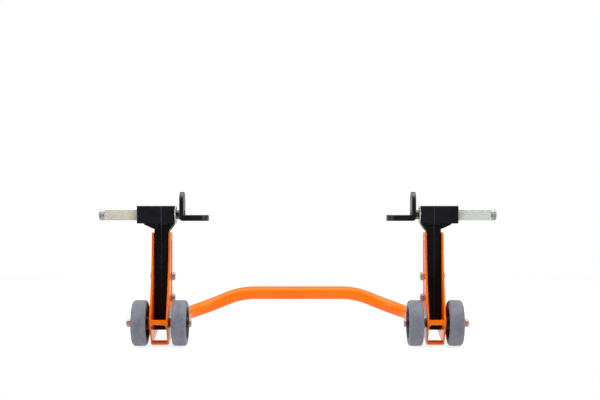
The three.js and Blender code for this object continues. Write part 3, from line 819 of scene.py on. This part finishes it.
def bar_end_cap():
    """A round cap with a domed end and a ring groove, a hole for the stop pin, and a square plug."""
    low, high = local_box("bar_end_cap")
    bar_half = local_box("slide_bar")[1].y
    start = local_box("slide_bar")[1].x + GAP
    radius = high.y
    groove_from, groove_to = CAP["groove"]
    groove_radius = radius - CAP["groove_depth"]
    dome_from = high.x - CAP["dome"]
    side = [(start, 0, 0), (start, radius, 0.5), (groove_from, radius, 0.25)]
    side += [(groove_from, groove_radius, 0.2), (groove_to, groove_radius, 0.2)]
    side += [(groove_to, radius, 0.25), (dome_from, radius, 0)]
    turns = [math.pi / 2 * k / 14 for k in range(1, 14)]
    dome = [(dome_from + CAP["dome"] * math.sin(t), radius * math.cos(t)) for t in turns]
    cap = moved(lathe([*(tuple(p) for p in rounded(side, 3)), *dome, (high.x, 0)], 96), z=BAR_Z)
    pin = local_box("bar_stop_pin")
    hole = (pin[1].x - pin[0].x) / 2 + GAP
    drill = along_y(rod(hole, -radius - PAST, radius + PAST), middle_of("bar_stop_pin").x, BAR_Z)
    plug = square(bar_half - BAR_WALL - GAP, 1.5, BAR_Z)
    return [boolean(cap, drill), prism(plug, (low.x, start + 0.5), "x", bevel=0.3)]


def bar_stop_pin():
    low, high = local_box("bar_stop_pin")
    radius = (high.x - low.x) / 2
    corners = [(low.y, 0, 0), (low.y, radius, 0.7), (high.y, radius, 0.7), (high.y, 0, 0)]
    return [along_y(soft_lathe(corners, 4, 32), middle_of("bar_stop_pin").x, BAR_Z)]


def stop_disc():
    low, high = local_box("stop_disc")
    return [moved(washer(HOLE, high.y, (low.x, high.x), 0.45, 96), z=BAR_Z)]


def swivel_bolt():
    low, high = local_box("swivel_bolt")
    head_radius = high.y
    cone_depth = head_radius - BOLT
    profile = [(low.x, 0), (low.x, head_radius - 2 * GAP), (low.x + GAP, head_radius - GAP)]
    profile += threaded(low.x + cone_depth, high.x, plain_to=high.x - 9)
    key = lathe([(low.x - 1, 0), (low.x - 1, KEY), (low.x + 2.4, KEY), (low.x + 2.9, 0)], 6)
    return [moved(boolean(lathe(profile, 48), key), z=BAR_Z)]


# Saddle: an L of steel in a moulded rubber boot


def saddle_body(outer, tip, low, top, depth, upright, seat, edge):
    """An L with round ends, lofted from the seat's tip round the bend to the upright's top."""
    bend, inside = SADDLE["bend"], SADDLE["inside"]
    half = depth / 2
    end = half - 1
    turns = [math.pi / 2 * k / 14 for k in range(15)]
    sections = []
    for t in turns:
        x = tip + end * (1 - math.cos(t))
        sections.append(((x, low), (x, low + seat), t, end * (1 - math.cos(t))))
    seat_from = tip + end
    for k in range(1, 8):
        share = k / 8
        outer_x = seat_from + (outer - bend - seat_from) * share
        inner_x = seat_from + (outer - upright - inside - seat_from) * share
        sections.append(((outer_x, low), (inner_x, low + seat), math.pi / 2, end))
    for k in range(11):
        t = math.pi / 2 * k / 10
        outside = (outer - bend + bend * math.sin(t), low + bend - bend * math.cos(t))
        corner = (outer - upright - inside, low + seat + inside)
        within = (corner[0] + inside * math.sin(t), corner[1] - inside * math.cos(t))
        sections.append((outside, within, math.pi / 2, end))
    upright_to = top - end
    for k in range(1, 8):
        share = k / 8
        outer_z = low + bend + (upright_to - low - bend) * share
        inner_z = low + seat + inside + (upright_to - low - seat - inside) * share
        sections.append(((outer, outer_z), (outer - upright, inner_z), math.pi / 2, end))
    for t in reversed(turns):
        z = top - end * (1 - math.cos(t))
        sections.append(((outer, z), (outer - upright, z), t, end * (1 - math.cos(t))))
    rings = []
    for outside, within, t, travel in sections:
        outside, within = Vector(outside), Vector(within)
        thick = (within - outside).length
        line = (within - outside) / thick
        width = half - end + end * math.sin(t)
        inset = edge - math.sqrt(edge**2 - (edge - travel) ** 2) if travel < edge else 0
        corner = min(edge, 0.9 * width)
        section = []
        for y, step in rectangle(-width, width, inset, thick - inset, corner, 3):
            place = outside + line * step
            section.append((place.x, y, place.y))
        rings.append(section)
    return loft(rings)


def saddle_steel(grow, edge):
    low, high = local_box("saddle_cover")
    thick = STEEL["thick"] + 2 * grow
    return saddle_body(
        high.x - SKIN + grow,
        low.x + STEEL["edge"] - grow,
        low.z + SKIN - grow,
        high.z - STEEL["edge"] + grow,
        high.y - low.y - 2 * STEEL["edge"] + 2 * grow,
        thick,
        thick,
        edge,
    )


def saddle_core():
    bolt_low, bolt_high = local_box("swivel_bolt")
    face = bolt_low.x
    sink = bolt_high.y + GAP
    past = local_box("saddle_core")[1].x + PAST
    cone = [(face - PAST, 0), (face - PAST, sink + PAST)]
    cone += [(face + sink - HOLE, HOLE), (past, HOLE), (past, 0)]
    return [boolean(saddle_steel(0, 0.5), moved(lathe(cone, 48), z=BAR_Z))]


def saddle_cover():
    low, high = local_box("saddle_cover")
    upright, seat, edge = SADDLE["upright"], SADDLE["seat"], SADDLE["edge"]
    boot = saddle_body(high.x, low.x, low.z, high.z, high.y - low.y, upright, seat, edge)
    boot = boolean(boot, saddle_steel(GAP, 0.4))
    hole = rod(local_box("swivel_nut")[1].y + GAP, high.x - upright - PAST, high.x + PAST, 64)
    return [boolean(boot, moved(hole, z=BAR_Z))]


# Clamp


def clamp_knob():
    low, high = local_box("clamp_knob")
    centre = middle_of("clamp_screw").x
    mean = high.x - centre - KNOB["lobe"]
    star = []
    for t in angles(72):
        radius = mean + KNOB["lobe"] * math.cos(KNOB["lobes"] * t)
        star.append(Vector((centre + radius * math.cos(t), BAR_Z + radius * math.sin(t))))
    star_solid = prism(star, (low.y + 2, high.y - 0.8), "y", [circle(HOLE, centre, BAR_Z)], 1.8)
    wide, foot = KNOB["collar"], low.y + KNOB["collar_depth"]
    collar = [(low.y, HOLE), (low.y, wide - 0.5), (low.y + 0.5, wide), (foot, wide), (foot, HOLE)]
    start, end = high.y - KNOB["cover_depth"], high.y - 0.2
    cover = [(start, 0, 0), (start, KNOB["cover"], 0), (end, KNOB["cover"] - 0.4, 0.8), (end, 0, 0)]
    turned = (lathe(collar, 48), soft_lathe(cover, 4, 48))
    return [star_solid, *(along_y(part, centre, BAR_Z) for part in turned)]


def clamp_screw():
    low, high = local_box("clamp_screw")
    tip = 2.9
    profile = [(low.y, 0), (low.y, tip), (low.y + 1, BOLT - 0.1)]
    profile += threaded(low.y + 1.2, high.y)
    return [along_y(lathe(profile, 40), middle_of("clamp_screw").x, BAR_Z)]


# Height bolts


def height_bolt(place):
    low, high = local_box("height_bolt_" + place)
    seat = PLATE_OUTER + GAP
    top = high.x
    radius, (brow_drop, brow) = BUTTON["radius"], BUTTON["brow"]
    dome = [(seat, BOLT, 0), (seat, radius, 0.3), (seat + BUTTON["rim"], radius, 0.8)]
    dome += [(top - brow_drop, brow, 1.2), (top, BUTTON["crown"], 1.0), (top, 0, 0)]
    shank = [(-x, r) for x, r in reversed(threaded(-seat, -low.x, plain_to=-low.x - 9))]
    profile = shank + [tuple(p) for p in rounded(dome, 4)]
    wall, floor_at = top - 0.55 * (top - seat), top - 0.7 * (top - seat)
    key = lathe([(top + 1, 0), (top + 1, BUTTON["key"]), (wall, BUTTON["key"]), (floor_at, 0)], 6)
    return [moved(boolean(lathe(profile, 48), key), z=middle_of("height_bolt_" + place).z)]


# Axle and wheels


def axle_bolt():
    low, high = local_box("axle_bolt")
    seat = -local_box("outer_wheel_bush")[1].x - GAP
    shank = [(seat - 1, 0), *threaded(seat - 1, high.x, plain_to=high.x - 12)]
    parts = (hexagon(across_flats(low, high), (low.x, seat)), lathe(shank, 40))
    return [moved(part, y=AXLE.y, z=AXLE.z) for part in parts]


def wheel_tyre(place):
    low, high = local_box(place + "_wheel_tyre")
    half = (high.x - low.x) / 2
    radius = (high.z - low.z) / 2
    rim = local_box(place + "_wheel_rim")
    bore = (rim[1].z - rim[0].z) / 2 + GAP
    inner, outer = (bore + reach for reach in TYRE_WALL["groove"])
    floor_x = half - TYRE_WALL["groove_depth"]
    side = [(half, bore, 0), (half, inner, 0), (floor_x, inner + 0.5, 0), (floor_x, outer - 0.6, 0)]
    side += [(half, outer, 0), (half, radius - TYRE_WALL["edge"], TYRE_WALL["shoulder"])]
    line = MOULD_LINE["half"]
    tread = [(line, radius - MOULD_LINE["proud"], 0), (line * 0.6, radius, 0)]
    right = rounded([*side, *tread, (0, radius, 0)], 10)[:-1]
    left = [Vector((-p.x, p.y)) for p in reversed(right)]
    profile = [tuple(p) for p in right + left]
    return [moved(lathe(profile, 128), x=(low.x + high.x) / 2, y=AXLE.y, z=AXLE.z)]


def wheel_rim(place):
    low, high = local_box(place + "_wheel_rim")
    hub = (high.x - low.x) / 2
    outer = (high.z - low.z) / 2
    bore = local_box(place + "_wheel_bush")[1].z - AXLE.z + GAP
    web, felloe = RIM["web"], RIM["felloe"]
    right = [(hub, bore, 0.3), (hub, RIM["hub"], 0.8), (web, RIM["hub_root"], 1.5)]
    right += [(web, RIM["felloe_root"], 1.5), (felloe, RIM["felloe_radius"], 0.6), (felloe, outer, 0.3)]
    left = [(-x, radius, turn) for x, radius, turn in reversed(right)]
    parts = [soft_lathe(right + left, 4, 96)]
    for turn in angles(RIBS["count"]):
        along = Vector((math.cos(turn), math.sin(turn)))
        across = Vector((-along.y, along.x)) * RIBS["half"]
        start, end = along * RIBS["from"], along * RIBS["to"]
        outline = [start - across, end - across, end + across, start + across]
        parts.append(prism(outline, (-RIBS["reach"], RIBS["reach"]), "x", bevel=0.4))
    return [moved(part, x=(low.x + high.x) / 2, y=AXLE.y, z=AXLE.z) for part in parts]


# Handle


def rail_point(y):
    return RAIL_START.lerp(CORNER, (y - RAIL_START.y) / (CORNER.y - RAIL_START.y))


def handle_places():
    opposite = Vector((-CREST.x, CREST.y, CREST.z))
    squeezed = [rail_point(RAIL_START.y + k / 4 * (SQUEEZED["until"] - RAIL_START.y)) for k in range(5)]
    opening = SQUEEZED["round_from"] - SQUEEZED["until"]
    squeezed += [rail_point(SQUEEZED["until"] + k / 10 * opening) for k in range(1, 11)]
    half = [
        *squeezed,
        *arc_places(RAIL_START, CORNER, CREST, CORNER_BEND, 28),
        *arc_places(CORNER, CREST, opposite, CREST_BEND, 16),
    ]
    return half + [Vector((-p.x, p.y, p.z)) for p in reversed(half)]


def tube_rings(places, radius, sides=56):
    """Rings about a line of places, carried along it without twist."""
    up = Vector((0, 0, 1))
    turns = angles(sides)
    rings = []
    for i, place in enumerate(places):
        line = (places[min(i + 1, len(places) - 1)] - places[max(i - 1, 0)]).normalized()
        up = (up - line * up.dot(line)).normalized()
        side = line.cross(up)
        rings.append([place + (up * math.cos(t) + side * math.sin(t)) * radius for t in turns])
    return rings


def squeeze_ends(bm):
    """Presses the tube's front ends to an oval that fits between the side plates."""
    for vertex in bm.verts:
        along = (vertex.co.y - SQUEEZED["until"]) / (SQUEEZED["round_from"] - SQUEEZED["until"])
        along = min(max(along, 0), 1)
        press = 1 - along * along * (3 - 2 * along)
        narrow = 1 + (SQUEEZED["width"] / (2 * TUBE["radius"]) - 1) * press
        tall = 1 + (SQUEEZED["height"] / (2 * TUBE["radius"]) - 1) * press
        side = math.copysign(UPRIGHT_X, vertex.co.x)
        level = rail_point(vertex.co.y).z
        vertex.co.x = side + (vertex.co.x - side) * narrow
        vertex.co.z = level + (vertex.co.z - level) * tall


def handle():
    places = handle_places()
    outside = tube_rings(places, TUBE["radius"])
    inside = tube_rings(places, TUBE["radius"] - TUBE["wall"])
    tube = loft(outside + inside[::-1], closed=True)
    squeeze_ends(tube)
    return [tube]


def handle_foot():
    """A rubber block with a saddle for the rail."""
    low, high = local_box("handle_foot")
    outline = rectangle(low.x, high.x, low.y, high.y, 4)
    block = prism(outline, (low.z, high.z), "z", bevel=0.8)
    middle = (low.y + high.y) / 2
    shift = Vector((UPRIGHT_X, 0, 0))
    ends = [rail_point(middle - 60) - shift, rail_point(middle + 60) - shift]
    return [boolean(block, loft(tube_rings(ends, TUBE["radius"] + GAP, 96)))]


# ---- the stand


def show_upright(side, sign):
    def put(name, parts, material):
        show(f"{side}_{name}", parts, material, sign)

    put("side_frame", side_frame(), PAINT)
    put("column", column(), SHADED_COLUMN_PAINT)
    put("head", head(), LIT_HEAD_PAINT)
    put("slide_bar", slide_bar(), BAR_ZINC[side])
    put("bar_end_cap", bar_end_cap(), CAP_ZINC)
    put("bar_stop_pin", bar_stop_pin(), BOLT_ZINC)
    put("stop_disc", stop_disc(), DISC_ZINC)
    put("swivel_nut", nut("swivel_nut"), NUT_ZINC)
    put("swivel_bolt", swivel_bolt(), BOLT_ZINC)
    put("saddle_core", saddle_core(), COATED)
    put("saddle_cover", saddle_cover(), SOFT_BLACK)
    put("clamp_knob", clamp_knob(), MOULDED)
    put("clamp_screw", clamp_screw(), BOLT_ZINC)
    for place in ("lower", "upper"):
        put("height_bolt_" + place, height_bolt(place), BOLT_ZINC)
        put("height_nut_" + place, nut("height_nut_" + place), BOLT_ZINC)
    put("axle_bolt", axle_bolt(), AXLE_ZINC)
    put("axle_washer", axle_ring("axle_washer", 0.3), AXLE_ZINC)
    put("axle_nut", nut("axle_nut"), AXLE_ZINC)
    for place in ("inner", "outer"):
        put("axle_spacer_" + place, axle_ring("axle_spacer_" + place), PAINT)
        put(place + "_wheel_tyre", wheel_tyre(place), GREY)
        put(place + "_wheel_rim", wheel_rim(place), MOULDED)
        put(place + "_wheel_bush", axle_ring(place + "_wheel_bush"), BOLT_ZINC)
    put("handle_foot", handle_foot(), SOFT_BLACK)


for side_name, side_sign in SIDES.items():
    show_upright(side_name, side_sign)
show("handle", handle(), PAINT)

# ---- floor, light, camera

FLOOR = {"x": 2.0, "front": -0.45, "back": 1.9, "drop": 0.0005}
FLOOR_LOOK = {
    "Base Color": (0.28, 0.28, 0.284, 1),
    "Roughness": 0.9,
    "Specular IOR Level": 0.1,
    "Emission Color": (1, 1, 1, 1),
    "Emission Strength": 0.78,
}
SKY = {"dark": -0.3, "bright": 0.4, "strength": 0.75}  # dark and bright as the y of a direction
SOFTBOXES = {
    "top": {"place": (0, -0.2, 1.7), "target": (0, 0, 0.1), "size": (2.2, 1.6), "power": 46},
    "front_left": {"place": (-1.7, -1.3, 0.9), "target": (0, 0, 0.12), "size": (1.0, 1.4), "power": 19},
    "front_right": {"place": (1.7, -1.3, 0.9), "target": (0, 0, 0.12), "size": (1.0, 1.4), "power": 19},
}
CAMERA = {"place": (0.0041, -2.084, 0.224), "lens": 64.74, "sensor": 36, "shift": 0.0283}


def floor():
    ends = rectangle(-FLOOR["x"], FLOOR["x"], FLOOR["front"], FLOOR["back"])
    corners = [(x, y, 0) for x, y in ends]
    mesh = bpy.data.meshes.new("floor")
    mesh.from_pydata(corners, [], [(0, 1, 2, 3)])
    ground = bpy.data.objects.new("floor", mesh)
    ground.location.z = -FLOOR["drop"]
    bpy.context.scene.collection.objects.link(ground)
    material = bpy.data.materials.new("white_floor")
    material.use_nodes = True
    shader = material.node_tree.nodes["Principled BSDF"]
    for socket, value in FLOOR_LOOK.items():
        shader.inputs[socket].default_value = value
    mesh.materials.append(material)


def studio():
    """White to the camera; to the object, bright above and behind it and dark behind the camera."""
    world = bpy.data.worlds.new("studio")
    world.use_nodes = True
    bpy.context.scene.world = world
    nodes, link = world.node_tree.nodes, world.node_tree.links.new
    nodes.clear()
    out = nodes.new("ShaderNodeOutputWorld")
    background = nodes.new("ShaderNodeBackground")
    direction = nodes.new("ShaderNodeTexCoord").outputs["Generated"]
    parts = nodes.new("ShaderNodeSeparateXYZ")
    link(direction, parts.inputs[0])
    depth = nodes.new("ShaderNodeMapRange")
    depth.inputs["From Min"].default_value = SKY["dark"]
    depth.inputs["From Max"].default_value = SKY["bright"]
    depth.inputs["To Max"].default_value = SKY["strength"]
    link(parts.outputs["Y"], depth.inputs["Value"])
    seen = nodes.new("ShaderNodeLightPath").outputs["Is Camera Ray"]
    level = nodes.new("ShaderNodeMath")
    level.operation = "MAXIMUM"
    link(depth.outputs["Result"], level.inputs[0])
    link(seen, level.inputs[1])
    link(level.outputs[0], background.inputs["Strength"])
    background.inputs["Color"].default_value = (1, 1, 1, 1)
    link(background.outputs[0], out.inputs[0])


def softbox(name, place, target, size, power):
    light = bpy.data.lights.new(name, "AREA")
    light.shape = "RECTANGLE"
    light.size, light.size_y = size
    light.energy = power
    lamp = bpy.data.objects.new(name, light)
    lamp.location = place
    lamp.rotation_euler = (Vector(target) - Vector(place)).to_track_quat("-Z", "Y").to_euler()
    lamp.visible_camera = False
    bpy.context.scene.collection.objects.link(lamp)


def camera():
    data = bpy.data.cameras.new("camera")
    data.sensor_width = CAMERA["sensor"]
    data.lens = CAMERA["lens"]
    data.shift_y = CAMERA["shift"]
    view = bpy.data.objects.new("camera", data)
    view.location = CAMERA["place"]
    view.rotation_euler = (math.pi / 2, 0, 0)
    bpy.context.scene.collection.objects.link(view)
    bpy.context.scene.camera = view


floor()
studio()
for light_name, values in SOFTBOXES.items():
    softbox(light_name, **values)
camera()
bpy.context.scene.view_settings.view_transform = "Standard"
